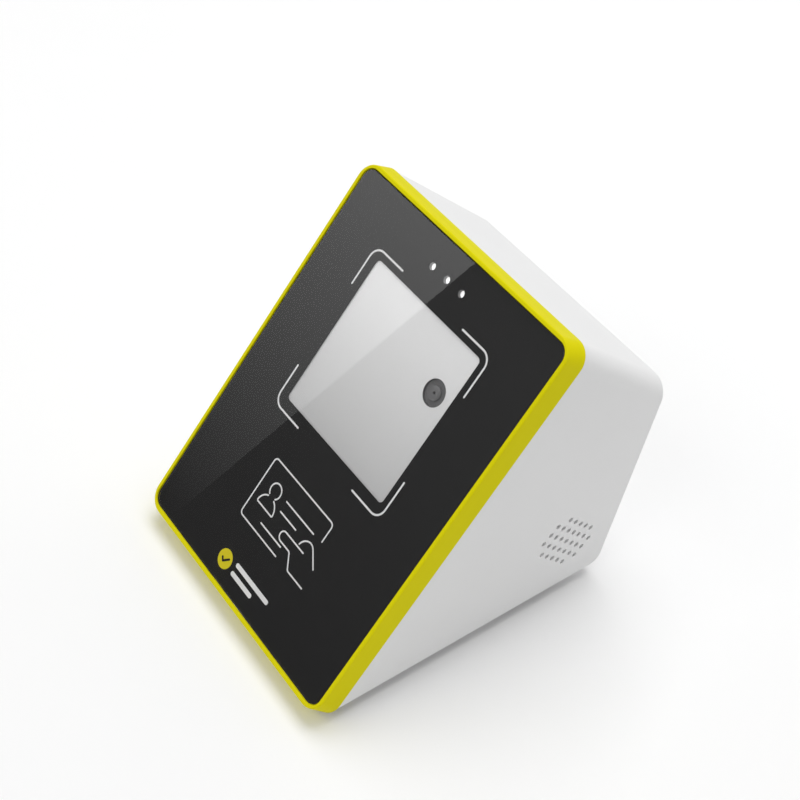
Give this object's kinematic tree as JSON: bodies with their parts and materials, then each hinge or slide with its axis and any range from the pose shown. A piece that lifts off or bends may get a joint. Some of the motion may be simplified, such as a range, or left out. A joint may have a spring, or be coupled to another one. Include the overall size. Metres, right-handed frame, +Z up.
{
  "type": "ticket validator",
  "caption": "Desktop fare validator: sloping glass panel in a yellow bezel, with a lit code window, camera, indicator lamps and card reader, on a tapered white housing with a speaker grille.",
  "frame": {"origin": "on the ground plane under the middle of the bounding box", "axes": "+Z up; the sloping panel faces -Y and upwards; +X to the right of someone facing the panel"},
  "size_m": [0.11, 0.1322, 0.1207],
  "materials": {
    "front_glass": "polished",
    "tape": "matte",
    "yellow_plastic": "satin",
    "housing_plastic": "satin",
    "black_plastic": "matte",
    "frosted_plastic": "frosted",
    "white_plastic": "matte",
    "dark_grey_plastic": "satin",
    "clear_plastic": "polished",
    "led": "satin",
    "lens_glass": "polished",
    "green_board": "satin",
    "blue_board": "satin",
    "ferrite": "matte",
    "screw_steel": "satin",
    "shield_metal": "satin",
    "magnet": "matte",
    "speaker_paper": "matte",
    "card_plastic": "satin",
    "foot_rubber": "matte"
  },
  "bodies": {
    "body": {"front_glass": "front_glass", "glass_tape": "tape", "bezel": "yellow_plastic", "carrier_frame": "black_plastic", "diffuser_plate": "frosted_plastic", "light_box": "white_plastic", "fill_light_board": "white_plastic", "fill_led_1": "led", "fill_led_2": "led", "fill_led_3": "led", "fill_led_4": "led", "lens_barrel": "dark_grey_plastic", "lens_element": "lens_glass", "lens_holder": "black_plastic", "camera_board": "green_board", "image_sensor": "lens_glass", "camera_screw_1": "screw_steel", "camera_screw_2": "screw_steel", "indicator_pipe_left": "clear_plastic", "indicator_pipe_centre": "clear_plastic", "indicator_pipe_right": "clear_plastic", "indicator_led_left": "led", "indicator_led_centre": "led", "indicator_led_right": "led", "indicator_board": "green_board", "antenna_board": "blue_board", "ferrite_sheet": "ferrite", "main_board": "green_board", "processor_shield": "shield_metal", "board_connector": "white_plastic", "board_screw_1": "screw_steel", "board_screw_2": "screw_steel", "board_screw_3": "screw_steel", "board_screw_4": "screw_steel", "housing": "housing_plastic", "bezel_screw_left": "screw_steel", "bezel_screw_right": "screw_steel", "base_cover": "black_plastic", "cover_screw_1": "screw_steel", "cover_screw_2": "screw_steel", "cover_screw_3": "screw_steel", "cover_screw_4": "screw_steel", "rubber_foot_1": "foot_rubber", "rubber_foot_2": "foot_rubber", "rubber_foot_3": "foot_rubber", "rubber_foot_4": "foot_rubber", "port_board": "green_board", "port_screw_1": "screw_steel", "port_screw_2": "screw_steel", "ethernet_jack": "shield_metal", "power_jack": "black_plastic", "reset_switch": "black_plastic", "sam_socket": "black_plastic", "sam_card": "card_plastic", "grille_mesh": "speaker_paper", "speaker_frame": "screw_steel", "speaker_magnet": "magnet"},
    "reset_button": {"reset_button": "dark_grey_plastic"},
    "speaker_cone": {"speaker_cone": "speaker_paper"},
    "card_lid": {"sam_lid": "shield_metal"}
  },
  "joints": [
    {"name": "reset_press", "type": "slide", "parent": "body", "child": "reset_button", "axis": [0, -1, 0], "range_m": [0, 0.0008], "stiffness_N_per_m": 600},
    {"name": "cone_travel", "type": "slide", "parent": "body", "child": "speaker_cone", "axis": [0.9981, 0.0484, -0.0372], "range_m": [-0.0004, 0.0004], "stiffness_N_per_m": 900},
    {"name": "card_lid_hinge", "type": "hinge", "parent": "body", "child": "card_lid", "pos_m": [0, 0.02422, 0.01875], "axis": [-1, 0, 0], "range_deg": [0, 80]}
  ]
}
